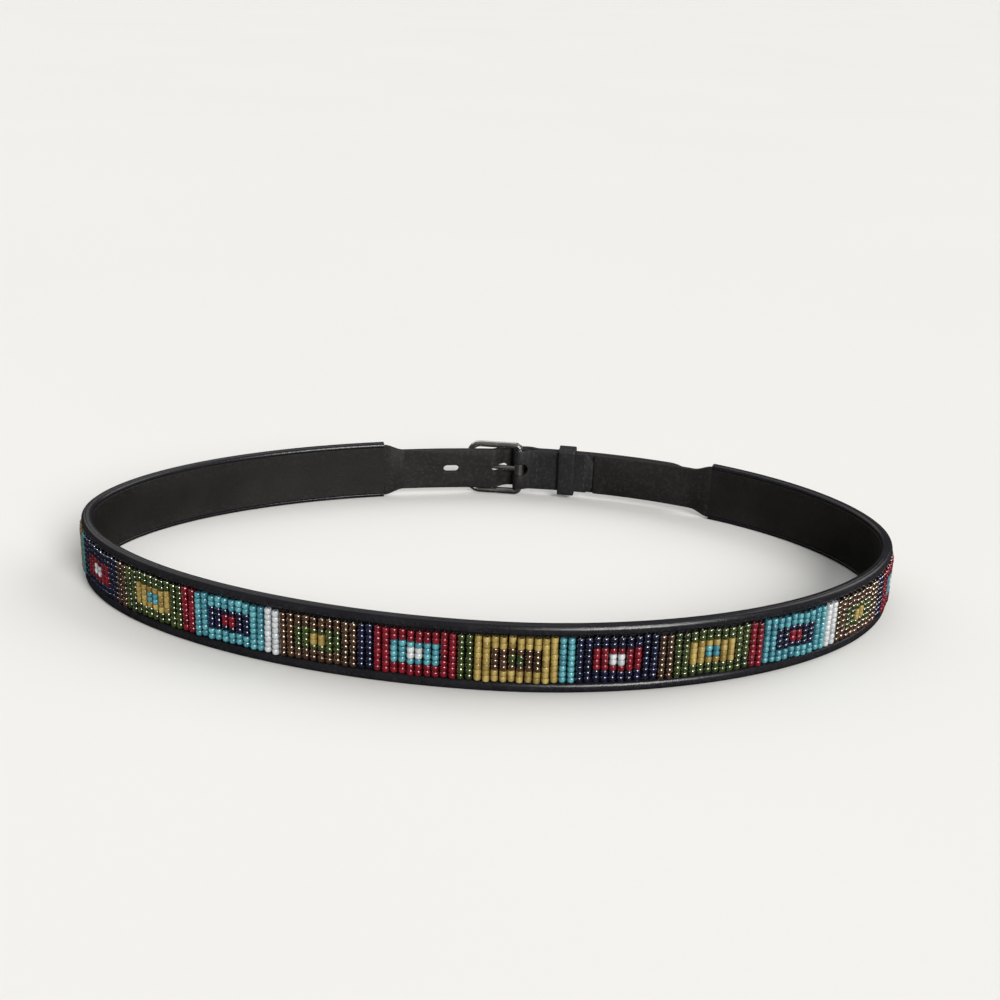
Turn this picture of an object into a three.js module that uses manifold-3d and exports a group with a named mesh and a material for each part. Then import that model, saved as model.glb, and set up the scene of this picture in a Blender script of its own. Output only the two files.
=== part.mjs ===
// A beaded leather belt, fastened, standing on its lower edge. Millimetres, +Z up, the worn front towards -Y.
//
// Every piece follows one closed loop. A place on it is given as
//   along: the distance round the loop from the front, positive towards +X,
//   out:   the distance outwards from the face of the beads, so most pieces have a negative one,
//   up:    the height over the lower edge.
import * as THREE from "three";
import { mergeVertices } from "three/addons/utils/BufferGeometryUtils.js";
import Module from "manifold-3d";

const wasm = await Module();
wasm.setup();

// The loop, seen from above: four quarters of an oval that meet at its widest and deepest points
const leftHalfWidth = 170;
const rightHalfWidth = 144.5;
const frontDepth = 94;
const backDepth = 96;
const roundness = { frontLeft: 1.87, frontRight: 1.93, back: 1.87 };
const loopSamples = 1440;

// The beads: rows across the belt, columns round it
const beadRows = 8;
const beadLength = 2.1;
const beadDiameter = 2.65;
const columnPitch = 2.86;
const beadColumns = 226;
const columnsLeftOfFront = 125.27;

// The leather
const strapThickness = 1;
const liningThickness = 1;
const bindingHeight = 3.9;
const bindingWall = 1;
const bindingLip = 1.7;
const bindingRound = 1.3;
const beadProud = 0.9;
const layerGap = 0.2;
const beadGap = 0.3;

// The plain ends and the closure at the back
const endHeight = 17.8;
const taperLength = 9;
const tailPastBar = 80;
const tailTipLength = 12;
const tipToBeads = 8.6;
const riseGap = 5;
const riseLength = 8;
const fallGap = 1.3;
const fallLength = 5;
const holeCount = 5;
const usedHole = 1;
const holePitch = 22;
const holeLength = 7;
const holeWidth = 3.2;
const wireRadius = 1.4;
const frameLength = 22;
const frameCorner = 4;
const heelCorner = 1.6;
const frameGap = 0.5;
const prongRootRadius = 1.2;
const prongTipRadius = 0.9;
const collarRadius = 2.2;
const collarHeight = 5;
const eyeWall = 1.1;
const fitGap = 0.3;
const keeperStart = 18;
const keeperLength = 7.5;
const keeperWall = 1.5;

// Steps round the loop and round the wire
const beadedSteps = 92;
const plainStep = 4;
const fineStep = 1;
const wireSides = 12;

// Sizes that follow from those above
const fieldHeight = beadRows * beadLength;
const beltHeight = fieldHeight + 2 * (bindingHeight + beadGap);
const middle = beltHeight / 2;
const strapOuter = -beadDiameter - layerGap;
const strapInner = strapOuter - strapThickness;
const liningOuter = strapInner - layerGap;
const innerFace = liningOuter - liningThickness;
const beadedStart = -columnsLeftOfFront * columnPitch;
const beadedEnd = beadedStart + beadColumns * columnPitch;
const barAlong = beadedEnd + tipToBeads + tailPastBar;
const endThickness = strapOuter - innerFace;
const endMiddle = (strapOuter + innerFace) / 2;
const eyeRadius = wireRadius + fitGap + eyeWall;
const overEye = endMiddle + eyeRadius + fitGap + endThickness / 2;
const overEnd = strapOuter + fitGap + endThickness / 2;
const armReach = endHeight / 2 + frameGap + wireRadius;
const farOffset = strapOuter + fitGap + wireRadius;

// The oval as a table of places and distances round it, from the front towards +X
function ovalPoint(angle) {
  const x = Math.cos(angle);
  const y = Math.sin(angle);
  const halfWidth = x < 0 ? leftHalfWidth : rightHalfWidth;
  const depth = y < 0 ? frontDepth : backDepth;
  const front = x < 0 ? roundness.frontLeft : roundness.frontRight;
  const power = 2 / (y < 0 ? front : roundness.back);
  return new THREE.Vector2(
    halfWidth * Math.sign(x) * Math.abs(x) ** power,
    depth * Math.sign(y) * Math.abs(y) ** power,
  );
}

const loopPoints = [];
const loopDistances = [0];
for (let i = 0; i <= loopSamples; i++) {
  loopPoints.push(ovalPoint(-Math.PI / 2 + (i / loopSamples) * 2 * Math.PI));
  if (i > 0) loopDistances.push(loopDistances[i - 1] + loopPoints[i].distanceTo(loopPoints[i - 1]));
}
const loopLength = loopDistances[loopSamples];

// The point of the oval at a distance round it
function onLoop(along) {
  const wrapped = ((along % loopLength) + loopLength) % loopLength;
  let low = 0;
  let high = loopSamples;
  while (high - low > 1) {
    const half = (low + high) >> 1;
    if (loopDistances[half] <= wrapped) low = half;
    else high = half;
  }
  const share = (wrapped - loopDistances[low]) / (loopDistances[high] - loopDistances[low]);
  return loopPoints[low].clone().lerp(loopPoints[high], share);
}

// The outward direction there, from its neighbours one bead away on each side
function outwardAt(along) {
  const step = onLoop(along + columnPitch).sub(onLoop(along - columnPitch)).normalize();
  return new THREE.Vector3(step.y, -step.x, 0);
}

function place(along, out, up) {
  const point = onLoop(along);
  return new THREE.Vector3(point.x, point.y, up).addScaledVector(outwardAt(along), out);
}

// A closed mesh from rings of points: the sides, and flat ends unless the rings close on themselves
function ringMesh(rings, closed) {
  const count = rings[0].length;
  const positions = rings.flat().flatMap((point) => point.toArray());
  const indices = [];
  const last = closed ? rings.length : rings.length - 1;
  for (let i = 0; i < last; i++) {
    const here = i * count;
    const next = ((i + 1) % rings.length) * count;
    for (let j = 0; j < count; j++) {
      const k = (j + 1) % count;
      indices.push(here + j, next + j, next + k, here + j, next + k, here + k);
    }
  }
  const geometry = new THREE.BufferGeometry();
  geometry.setAttribute("position", new THREE.Float32BufferAttribute(positions, 3));
  geometry.userData = { indices, count };
  return geometry;
}

// A band along the loop: sectionAt gives its outline as [out, up] pairs, anticlockwise, at each station
function band(stations, sectionAt) {
  const sections = stations.map(sectionAt);
  const rings = stations.map((along, i) => sections[i].map(([out, up]) => place(along, out, up)));
  const geometry = ringMesh(rings, false);
  const { indices, count } = geometry.userData;
  const cap = (section) =>
    THREE.ShapeUtils.triangulateShape(section.map(([out, up]) => new THREE.Vector2(out, up)), []);
  for (const [a, b, c] of cap(sections[0])) indices.push(a, b, c);
  const end = (rings.length - 1) * count;
  for (const [a, b, c] of cap(sections[rings.length - 1])) indices.push(end + a, end + c, end + b);
  geometry.setIndex(indices);
  return geometry;
}

// A wire that closes on itself
function closedWire(centres, radius) {
  const rings = centres.map(({ along, out, up }, i) => {
    const before = centres[(i + centres.length - 1) % centres.length];
    const after = centres[(i + 1) % centres.length];
    const tangent = place(after.along, after.out, after.up)
      .sub(place(before.along, before.out, before.up))
      .normalize();
    const side = outwardAt(along);
    side.addScaledVector(tangent, -side.dot(tangent)).normalize();
    const across = side.clone().cross(tangent);
    const centre = place(along, out, up);
    return Array.from({ length: wireSides }, (_, j) => {
      const turn = (j / wireSides) * 2 * Math.PI;
      return centre
        .clone()
        .addScaledVector(side, radius * Math.cos(turn))
        .addScaledVector(across, radius * Math.sin(turn));
    });
  });
  const geometry = ringMesh(rings, true);
  geometry.setIndex(geometry.userData.indices);
  return geometry;
}

// A straight round bar between two points
function rod(from, to, radiusFrom, radiusTo) {
  const direction = to.clone().sub(from);
  const geometry = new THREE.CylinderGeometry(radiusTo, radiusFrom, direction.length(), wireSides);
  geometry.applyQuaternion(
    new THREE.Quaternion().setFromUnitVectors(new THREE.Vector3(0, 1, 0), direction.clone().normalize()),
  );
  return geometry.translate(...from.clone().add(to).multiplyScalar(0.5).toArray());
}

// Between three.js meshes and manifold-3d solids
function solid(geometry) {
  const bare = geometry.clone();
  bare.deleteAttribute("normal");
  bare.deleteAttribute("uv");
  const welded = mergeVertices(bare, 1e-5);
  return new wasm.Manifold(
    new wasm.Mesh({
      numProp: 3,
      vertProperties: new Float32Array(welded.attributes.position.array),
      triVerts: new Uint32Array(welded.index.array),
    }),
  );
}

function faceted(made) {
  const mesh = made.getMesh();
  const geometry = new THREE.BufferGeometry();
  geometry.setAttribute("position", new THREE.BufferAttribute(new Float32Array(mesh.vertProperties), 3));
  geometry.setIndex(new THREE.BufferAttribute(new Uint32Array(mesh.triVerts), 1));
  return geometry;
}

// Evenly spaced stations between two places on the loop
function stationsBetween(start, end, steps) {
  return Array.from({ length: steps + 1 }, (_, i) => start + ((end - start) * i) / steps);
}

const ease = (share) => 0.5 - 0.5 * Math.cos(Math.PI * THREE.MathUtils.clamp(share, 0, 1));

// The bead field: one band as high as the eight rows, with rounded outer corners
function makeBeadField() {
  const low = middle - fieldHeight / 2;
  const high = middle + fieldHeight / 2;
  const corner = beadDiameter / 4;
  const section = [
    [-beadDiameter, low],
    [-corner, low],
    [0, low + corner],
    [0, high - corner],
    [-corner, high],
    [-beadDiameter, high],
  ];
  return band(stationsBetween(beadedStart, beadedEnd, beadedSteps), () => section);
}

// The binding that rolls over an edge of the strap: a lip inside, a flat over the edge, a round roll outside
function bindingSection() {
  const rollFoot = strapOuter + layerGap;
  const rollDepth = -beadProud - rollFoot;
  const rollSteps = 5;
  const section = [[innerFace, bindingLip]];
  for (const turn of [0, 0.25 * Math.PI, 0.5 * Math.PI]) {
    const round = new THREE.Vector2(1 - Math.cos(turn), 1 - Math.sin(turn)).multiplyScalar(bindingRound);
    section.push([innerFace + round.x, round.y]);
  }
  for (let i = 0; i <= rollSteps; i++) {
    const turn = (i / rollSteps) * Math.PI;
    const out = rollFoot + rollDepth * Math.abs(Math.sin(turn)) ** 0.8;
    section.push([out, (bindingHeight / 2) * (1 - Math.cos(turn))]);
  }
  section.push([rollFoot, bindingWall], [liningOuter, bindingWall], [liningOuter, bindingLip]);
  return section;
}

function makeBinding(upper) {
  const section = bindingSection();
  const mirrored = section.map(([out, up]) => [out, beltHeight - up]).reverse();
  return band(stationsBetween(beadedStart, beadedEnd, beadedSteps), () => (upper ? mirrored : section));
}

// The lining between the lips of the two bindings
function makeLining() {
  const low = bindingLip + layerGap;
  const high = beltHeight - low;
  const section = [
    [innerFace, low],
    [liningOuter, low],
    [liningOuter, high],
    [innerFace, high],
  ];
  return band(stationsBetween(beadedStart, beadedEnd, beadedSteps), () => section);
}

// How far out the middle of the tail runs, against its distance past the buckle's bar
function tailOut(pastBar) {
  const rise = ease((pastBar + riseGap + riseLength) / riseLength);
  const fall = ease((pastBar - eyeRadius - fallGap) / fallLength);
  return endMiddle + (overEye - endMiddle) * rise + (overEnd - overEye) * fall;
}

function tailSlope(pastBar) {
  const step = 0.5;
  return (tailOut(pastBar + step) - tailOut(pastBar - step)) / (2 * step);
}

// A section as high as twice halfHeight about the belt's middle, with bevelled edges
function strapSection(inner, outer, halfHeight, bevel = (outer - inner) / 4) {
  const edge = Math.min(bevel, halfHeight / 2);
  const low = middle - halfHeight;
  const high = middle + halfHeight;
  return [
    [inner, low + edge],
    [inner + edge, low],
    [outer - edge, low],
    [outer, low + edge],
    [outer, high - edge],
    [outer - edge, high],
    [inner + edge, high],
    [inner, high - edge],
  ];
}

// The strap: thin between the bindings, full thickness and lower in its plain ends, one piece from tip to eye
function makeStrap() {
  const tailBar = barAlong - loopLength;
  const tailTip = tailBar - tailPastBar;
  const coreHalf = middle - bindingWall - layerGap;
  const endHalf = endHeight / 2;
  const sectionAt = (along) => {
    const pastBeads = Math.max(beadedStart - along, along - beadedEnd);
    if (pastBeads < fitGap / 2) return strapSection(strapInner, strapOuter, coreHalf);
    let half = coreHalf + (endHalf - coreHalf) * ease((pastBeads - fitGap) / taperLength);
    if (along > beadedEnd) return strapSection(innerFace, strapOuter, half);
    const pastBar = tailBar - along;
    const fromTip = along - tailTip;
    if (fromTip < tailTipLength) {
      const share = 1 - fromTip / tailTipLength;
      half *= Math.max(Math.sqrt(Math.max(1 - share * share, 0)), 0.25);
    }
    const out = tailOut(pastBar);
    const thick = endThickness * Math.hypot(1, tailSlope(pastBar));
    return strapSection(out - thick / 2, out + thick / 2, half);
  };
  const tipRows = [0, 0.06, 0.18, 0.35, 0.6, 1].map((share) => tailTip + share * tailTipLength);
  const tipEnd = tailTip + tailTipLength;
  const closeStart = tailBar - eyeRadius - fallGap - 2 * fallLength;
  const closeEnd = tailBar + riseGap + 1.5 * riseLength;
  const steps = (from, to, size) => stationsBetween(from, to, Math.max(Math.round((to - from) / size), 1)).slice(1);
  const stations = [
    ...tipRows,
    ...steps(tipEnd, closeStart, plainStep),
    ...steps(closeStart, closeEnd, fineStep),
    ...steps(closeEnd, beadedStart - taperLength, plainStep),
    ...steps(beadedStart - taperLength, beadedStart - fitGap, plainStep / 2),
    ...steps(beadedStart - fitGap, beadedStart, fitGap),
    ...steps(beadedStart, beadedEnd, (beadedEnd - beadedStart) / beadedSteps),
    beadedEnd + fitGap,
    ...steps(beadedEnd + fitGap, beadedEnd + taperLength, plainStep / 2),
    ...steps(beadedEnd + taperLength, barAlong, plainStep),
  ];
  let strap = solid(band(stations, sectionAt));
  const eyeCentre = place(barAlong, endMiddle, middle);
  const upright = (radius, height, sides) =>
    solid(
      new THREE.CylinderGeometry(radius, radius, height, sides)
        .rotateX(Math.PI / 2)
        .translate(eyeCentre.x, eyeCentre.y, eyeCentre.z),
    );
  strap = strap.add(upright(eyeRadius, endHeight, 2 * wireSides));
  strap = strap.subtract(upright(wireRadius + fitGap, beltHeight, 2 * wireSides));
  const slotReach = eyeRadius + fitGap / 2;
  const slotHalf = collarHeight / 2 + fitGap;
  const slotSection = strapSection(endMiddle - slotReach, endMiddle + slotReach, slotHalf, fitGap / 3);
  strap = strap.subtract(
    solid(band(stationsBetween(barAlong - collarRadius - 1, barAlong + slotReach, 2), () => slotSection)),
  );
  for (let i = 0; i < holeCount; i++) strap = strap.subtract(tailHole(i));
  return faceted(strap);
}

// The middle of a tail hole, as a distance past the bar: the used one is half way up the rise, where the prong
// crosses the tail
function holeCentre(index) {
  return -riseGap - riseLength / 2 + (index - usedHole) * holePitch;
}

// The body of one oblong hole: short of the layer under the tail, and longer where the tail climbs over the eye
function tailHole(index) {
  const along = barAlong - loopLength - holeCentre(index);
  const outline = new THREE.Shape();
  const straight = (holeLength - holeWidth) / 2;
  outline.absarc(straight, 0, holeWidth / 2, -Math.PI / 2, Math.PI / 2);
  outline.absarc(-straight, 0, holeWidth / 2, Math.PI / 2, (3 * Math.PI) / 2);
  const depth = index === usedHole ? 4 * endThickness : endThickness + fitGap;
  const cutter = new THREE.ExtrudeGeometry(outline, { depth, bevelEnabled: false, curveSegments: 6 });
  const outward = outwardAt(along);
  const up = new THREE.Vector3(0, 0, 1);
  const onward = up.clone().cross(outward);
  const centre = place(along, tailOut(holeCentre(index)) - depth / 2, middle);
  const turned = new THREE.Matrix4().makeBasis(onward, up, outward).setPosition(centre);
  cutter.applyMatrix4(turned);
  return solid(cutter);
}

// The buckle: a wire frame with its heel bar in the eye and its prong lying on the far side, all one piece
function makeBuckle() {
  const outAt = (pastBar) => endMiddle + ((farOffset - endMiddle) * -pastBar) / frameLength;
  const cornerSteps = 4;
  const corners = [
    { past: -frameLength, up: -armReach, radius: frameCorner, start: Math.PI },
    { past: 0, up: -armReach, radius: heelCorner, start: 1.5 * Math.PI },
    { past: 0, up: armReach, radius: heelCorner, start: 0 },
    { past: -frameLength, up: armReach, radius: frameCorner, start: 0.5 * Math.PI },
  ];
  const centres = corners.flatMap(({ past, up, radius, start }) =>
    Array.from({ length: cornerSteps + 1 }, (_, i) => {
      const turn = start + ((i / cornerSteps) * Math.PI) / 2;
      const pastBar = past + (past < 0 ? radius : -radius) + radius * Math.cos(turn);
      const height = up + (up < 0 ? radius : -radius) + radius * Math.sin(turn);
      return { along: barAlong - pastBar, out: outAt(pastBar), up: middle + height };
    }),
  );
  const frame = solid(closedWire(centres, wireRadius));
  const root = place(barAlong, endMiddle, middle);
  const tipPast = -frameLength - prongTipRadius;
  const tipOut = farOffset + wireRadius + prongTipRadius - 0.15;
  const tip = place(barAlong - tipPast, tipOut, middle);
  const prong = solid(rod(root, tip, prongRootRadius, prongTipRadius));
  const tipBall = new THREE.SphereGeometry(prongTipRadius, wireSides, 8).translate(tip.x, tip.y, tip.z);
  const collar = new THREE.CylinderGeometry(collarRadius, collarRadius, collarHeight, 2 * wireSides)
    .rotateX(Math.PI / 2)
    .translate(root.x, root.y, root.z);
  return faceted(frame.add(prong).add(solid(tipBall)).add(solid(collar)));
}

// The keeper: a leather loop round the plain end and the tail that lies on it
function makeKeeper() {
  const start = barAlong - keeperStart - keeperLength;
  const stations = stationsBetween(start, start + keeperLength, 3);
  const inner = innerFace - fitGap;
  const outer = overEnd + endThickness / 2 + fitGap;
  const half = endHeight / 2 + fitGap;
  const wrap = strapSection(inner - keeperWall, outer + keeperWall, half + keeperWall, keeperWall / 2);
  const hollow = strapSection(inner, outer, half, fitGap);
  const through = stationsBetween(start - 1, start + keeperLength + 1, 3);
  return faceted(solid(band(stations, () => wrap)).subtract(solid(band(through, () => hollow))));
}

function piece(name, geometry, color, roughness, metalness) {
  const flat = geometry.toNonIndexed();
  flat.computeVertexNormals();
  const mesh = new THREE.Mesh(flat, new THREE.MeshStandardMaterial({ color, roughness, metalness }));
  mesh.name = name;
  return mesh;
}

const belt = new THREE.Group();
belt.add(
  piece("strap", makeStrap(), 0x1c1b1c, 0.55, 0),
  piece("lining", makeLining(), 0x2a2420, 0.7, 0),
  piece("upper_binding", makeBinding(true), 0x1c1b1c, 0.45, 0),
  piece("lower_binding", makeBinding(false), 0x1c1b1c, 0.45, 0),
  piece("bead_field", makeBeadField(), 0x8a6a2c, 0.3, 0),
  piece("buckle", makeBuckle(), 0x9a9a9c, 0.3, 1),
  piece("keeper", makeKeeper(), 0x1c1b1c, 0.5, 0),
);

// The origin is under the middle of the whole belt, on the surface that it stands on
const bounds = new THREE.Box3().setFromObject(belt);
const centre = bounds.getCenter(new THREE.Vector3());
belt.position.set(-centre.x, -centre.y, -bounds.min.z);

export default belt;
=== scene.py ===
import bisect
import math
import random

import bmesh
import bpy
from mathutils import Matrix, Vector


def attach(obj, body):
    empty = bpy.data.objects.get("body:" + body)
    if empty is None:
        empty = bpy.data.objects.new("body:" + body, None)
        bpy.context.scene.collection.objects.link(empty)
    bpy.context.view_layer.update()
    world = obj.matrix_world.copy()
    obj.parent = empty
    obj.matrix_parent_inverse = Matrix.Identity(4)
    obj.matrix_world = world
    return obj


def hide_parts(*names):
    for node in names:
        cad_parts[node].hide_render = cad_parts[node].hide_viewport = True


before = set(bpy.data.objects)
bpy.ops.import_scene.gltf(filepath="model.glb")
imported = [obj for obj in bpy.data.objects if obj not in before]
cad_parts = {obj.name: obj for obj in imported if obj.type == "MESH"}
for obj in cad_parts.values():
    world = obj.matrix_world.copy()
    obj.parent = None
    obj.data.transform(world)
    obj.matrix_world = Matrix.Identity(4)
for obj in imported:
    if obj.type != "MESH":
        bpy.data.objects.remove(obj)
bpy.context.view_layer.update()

# Sizes in metres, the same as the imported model's

mm = 0.001
left_half_width = 170 * mm
right_half_width = 144.5 * mm
front_depth = 94 * mm
back_depth = 96 * mm
front_left_roundness = 1.87
front_right_roundness = 1.93
back_roundness = 1.87
belt_shift_x = 12.7484 * mm
belt_shift_y = -1.6749 * mm

bead_rows = 8
bead_diameter = 2.65 * mm
column_pitch = 2.86 * mm
bead_columns = 226
columns_left_of_front = 125.27
first_column_in_pattern = -96

belt_height = 25.2 * mm
middle = belt_height / 2
strap_outer = -2.85 * mm
strap_inner = -3.85 * mm
lining_outer = -4.05 * mm
inner_face = -5.05 * mm
lip_height = 1.7 * mm
binding_height = 3.9 * mm
binding_crest = -0.9 * mm
binding_wall = 1 * mm
roll_foot = -2.65 * mm
layer_gap = 0.2 * mm
strap_inset = binding_wall + layer_gap

end_height = 17.8 * mm
end_thickness = strap_outer - inner_face
end_middle = (strap_outer + inner_face) / 2
taper_length = 9 * mm
tail_past_bar = 80 * mm
tail_tip_length = 12 * mm
tip_to_beads = 8.6 * mm
rise_gap = 5 * mm
rise_length = 8 * mm
fall_gap = 1.3 * mm
fall_length = 5 * mm
hole_count = 5
used_hole = 1
hole_pitch = 22 * mm
hole_length = 7 * mm
hole_width = 3.2 * mm
wire_radius = 1.4 * mm
fit_gap = 0.3 * mm
eye_wall = 1.1 * mm
eye_radius = wire_radius + fit_gap + eye_wall
over_eye = end_middle + eye_radius + fit_gap + end_thickness / 2
over_end = strap_outer + fit_gap + end_thickness / 2
keeper_start = 18 * mm
keeper_length = 7.5 * mm
keeper_wall = 1.5 * mm

# Finer sizes that only this script has, and the steps that flat leather is sliced in where it bends

column_length = 16.5 * mm
beads_above_middle = 0.25 * mm
thread_radius = 0.17 * mm
cut_edge_round = 0.22 * mm
bend_step = 2.5 * mm
over_bar = (12 * mm, 15 * mm)
over_bar_step = 1 * mm
turn_margin = 8 * mm
turn_step = 0.5 * mm
fold_back = 34 * mm
fold_corner = 3 * mm
fold_ramp = 5 * mm
prong_slot_length = 15 * mm
prong_slot_width = 5.6 * mm
seams_before_bar = (8 * mm, 30 * mm)
stitch_pitch = 3 * mm
stitch_half_size = (0.32 * mm, 0.22 * mm, 1.2 * mm)

beaded_start = -columns_left_of_front * column_pitch
beaded_end = beaded_start + bead_columns * column_pitch

chance = random.Random(1808)


# The oval that the beads' outer face follows

def oval_point(angle):
    """The point of the oval at an angle, counted from the wearer's left hip."""
    x, y = math.cos(angle), math.sin(angle)
    half_width = left_half_width if x < 0 else right_half_width
    depth = front_depth if y < 0 else back_depth
    front_roundness = front_left_roundness if x < 0 else front_right_roundness
    power = 2 / (front_roundness if y < 0 else back_roundness)
    return Vector((
        half_width * math.copysign(abs(x) ** power, x),
        depth * math.copysign(abs(y) ** power, y),
    ))


oval_steps = 1440
oval = [oval_point(-math.pi / 2 + 2 * math.pi * i / oval_steps) for i in range(oval_steps + 1)]
oval_distance = [0.0]
for before, after in zip(oval, oval[1:]):
    oval_distance.append(oval_distance[-1] + (after - before).length)
loop_length = oval_distance[-1]
bar_along = beaded_end + tip_to_beads + tail_past_bar
tail_bar = bar_along - loop_length


def on_loop(along):
    """The point of the oval at a distance round it from the front."""
    wrapped = along % loop_length
    low = min(bisect.bisect_right(oval_distance, wrapped), oval_steps) - 1
    share = (wrapped - oval_distance[low]) / (oval_distance[low + 1] - oval_distance[low])
    return oval[low].lerp(oval[low + 1], share)


def onward_at(along):
    """The direction along the belt at a distance round the oval."""
    step = (on_loop(along + column_pitch) - on_loop(along - column_pitch)).normalized()
    return Vector((step.x, step.y, 0))


def place(along, out, up):
    """The point a distance along the belt, outwards from the beads' face, and up."""
    point = on_loop(along)
    onward = onward_at(along)
    outward = Vector((onward.y, -onward.x, 0))
    return Vector((point.x + belt_shift_x, point.y + belt_shift_y, up)) + outward * out


def bend(shape):
    """Bends a straight piece, drawn along x with its outside towards -y, round the oval."""
    for vert in shape.verts:
        vert.co = place(vert.co.x, -vert.co.y, vert.co.z)


# Helpers that finish a piece

def finish_piece(shape, name, material, slot, *nodes, sharp=None):
    """Makes an object of a shape, with its material, under the root body, and hides the CAD nodes it stands
    in for. Edges past sharp stay crisp.
    """
    mesh = bpy.data.meshes.new(name)
    shape.to_mesh(mesh)
    shape.free()
    mesh.materials.append(material)
    mesh.shade_smooth()
    if sharp is not None:
        mesh.set_sharp_from_angle(angle=math.radians(sharp))
    piece = bpy.data.objects.new(name, mesh)
    bpy.context.scene.collection.objects.link(piece)
    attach(piece, "root")
    if nodes:
        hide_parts(*nodes)


def run_along(section, start, end, step):
    """Carries a closed section of (out, up, crest) points along the belt, between two flat cut ends."""
    shape = bmesh.new()
    crest = shape.verts.layers.float.new("crest")
    ring = []
    for out, up, mark in section:
        vert = shape.verts.new((start, -out, up))
        vert[crest] = mark
        ring.append(vert)
    edges = [shape.edges.new((a, b)) for a, b in zip(ring, ring[1:] + ring[:1])]
    shape.faces.new(ring)
    steps = round((end - start) / step)
    spun = bmesh.ops.spin(
        shape,
        geom=edges,
        axis=(0, 0, 1),
        dvec=((end - start) / steps, 0, 0),
        angle=0,
        steps=steps,
        use_merge=False,
        use_duplicate=False,
    )
    last = [part for part in spun["geom_last"] if isinstance(part, bmesh.types.BMEdge)]
    bmesh.ops.edgeloop_fill(shape, edges=last)
    bmesh.ops.recalc_face_normals(shape, faces=shape.faces)
    return shape


# Shader groups that several materials share

def new_group(name, inputs, outputs):
    """An empty shader node group with named inputs, each with its default value, and outputs."""
    group = bpy.data.node_groups.new(name, "ShaderNodeTree")
    for label, kind, value in inputs:
        socket = group.interface.new_socket(label, in_out="INPUT", socket_type=kind)
        if value is not None:
            socket.default_value = value
    for label, kind in outputs:
        group.interface.new_socket(label, in_out="OUTPUT", socket_type=kind)
    return group


def node(tree, kind, **settings):
    """A shader node with its settings."""
    made = tree.nodes.new(kind)
    for key, value in settings.items():
        setattr(made, key, value)
    return made


def ramp(tree, source, *stops):
    """A colour ramp over a value, from (place, colour) stops."""
    made = node(tree, "ShaderNodeValToRGB")
    while len(made.color_ramp.elements) < len(stops):
        made.color_ramp.elements.new(0.5)
    for element, (position, colour) in zip(made.color_ramp.elements, stops):
        element.position = position
        element.color = (*colour, 1)
    tree.links.new(source, made.inputs["Fac"])
    return made.outputs["Color"]


def noise(tree, vector, scale, detail, roughness=0.5):
    """A noise texture's value."""
    made = node(tree, "ShaderNodeTexNoise")
    made.inputs["Scale"].default_value = scale
    made.inputs["Detail"].default_value = detail
    made.inputs["Roughness"].default_value = roughness
    tree.links.new(vector, made.inputs["Vector"])
    return made.outputs["Fac"]


def maths(tree, operation, first, second, clamp=False):
    """A math node over two sockets or numbers."""
    made = node(tree, "ShaderNodeMath", operation=operation, use_clamp=clamp)
    for socket, value in zip(made.inputs, (first, second)):
        if isinstance(value, (int, float)):
            socket.default_value = value
        else:
            tree.links.new(value, socket)
    return made.outputs["Value"]


def mix_colour(tree, share, first, second):
    """A mix of two colours, each a socket or a plain colour."""
    made = node(tree, "ShaderNodeMix", data_type="RGBA")
    tree.links.new(share, made.inputs["Factor"])
    for label, value in (("A", first), ("B", second)):
        socket = next(s for s in made.inputs if s.name == label and s.type == "RGBA")
        if isinstance(value, tuple):
            socket.default_value = (*value, 1)
        else:
            tree.links.new(value, socket)
    return next(s for s in made.outputs if s.type == "RGBA")


def make_leather_grain():
    """Fine leather grain: small rounded cells, wider creases and soft blotches."""
    group = new_group(
        "leather_grain",
        [("Vector", "NodeSocketVector", None), ("Cell size", "NodeSocketFloat", 0.6)],
        [("Height", "NodeSocketFloat"), ("Pores", "NodeSocketFloat"), ("Blotches", "NodeSocketFloat")],
    )
    start = node(group, "NodeGroupInput")
    end = node(group, "NodeGroupOutput")
    scaled = node(group, "ShaderNodeVectorMath", operation="DIVIDE")
    group.links.new(start.outputs["Vector"], scaled.inputs[0])
    group.links.new(start.outputs["Cell size"], scaled.inputs[1])
    in_cells = node(group, "ShaderNodeVectorMath", operation="SCALE")
    in_cells.inputs["Scale"].default_value = 1000
    group.links.new(scaled.outputs["Vector"], in_cells.inputs[0])
    vector = in_cells.outputs["Vector"]
    cells = node(group, "ShaderNodeTexVoronoi", feature="SMOOTH_F1")
    cells.inputs["Scale"].default_value = 1
    cells.inputs["Smoothness"].default_value = 0.4
    group.links.new(vector, cells.inputs["Vector"])
    fine = noise(group, vector, 2.5, 3)
    creases = noise(group, vector, 0.25, 4)
    blotches = noise(group, vector, 0.03, 3)
    domes = maths(group, "SUBTRACT", 1.0, cells.outputs["Distance"])
    rough = maths(group, "MULTIPLY", fine, 0.35)
    wide = maths(group, "MULTIPLY", creases, 1.8)
    height = maths(group, "ADD", maths(group, "ADD", domes, rough), wide)
    pores = maths(group, "MULTIPLY", cells.outputs["Distance"], 1.4, clamp=True)
    group.links.new(height, end.inputs["Height"])
    group.links.new(pores, end.inputs["Pores"])
    group.links.new(blotches, end.inputs["Blotches"])
    return group


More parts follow.
